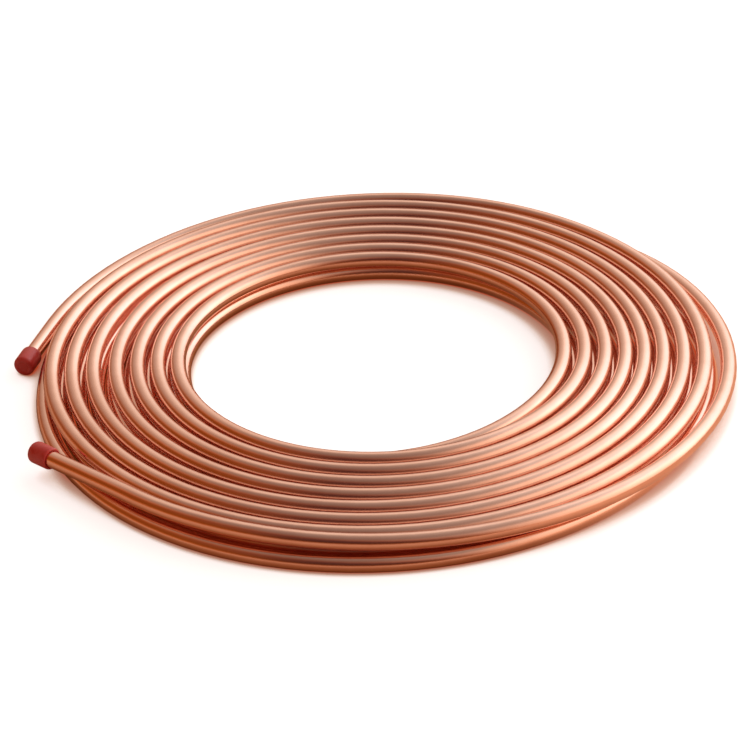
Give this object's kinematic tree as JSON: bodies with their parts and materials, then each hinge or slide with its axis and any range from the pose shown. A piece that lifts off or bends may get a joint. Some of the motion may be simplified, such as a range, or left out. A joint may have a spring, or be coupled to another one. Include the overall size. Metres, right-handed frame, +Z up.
{
  "type": "copper tube coil",
  "caption": "Flat coil of soft copper tube, wound in layers round an open eye and lying on its side, with a push-on plastic cap on each tube end.",
  "frame": {"origin": "on the coil's axis at floor level, in the middle of its eye", "axes": "+Z up along the coil's axis, both tube ends on the -X side, and the end that lies on top along the front crosses the -Y side"},
  "size_m": [0.4248, 0.4089, 0.022],
  "materials": {
    "copper": "bright drawn copper, slightly dulled",
    "cap_plastic": "soft satin, dusky red"
  },
  "bodies": {
    "root": {"copper_tube": "copper", "back_end_cap": "cap_plastic", "front_end_cap": "cap_plastic"}
  },
  "joints": []
}
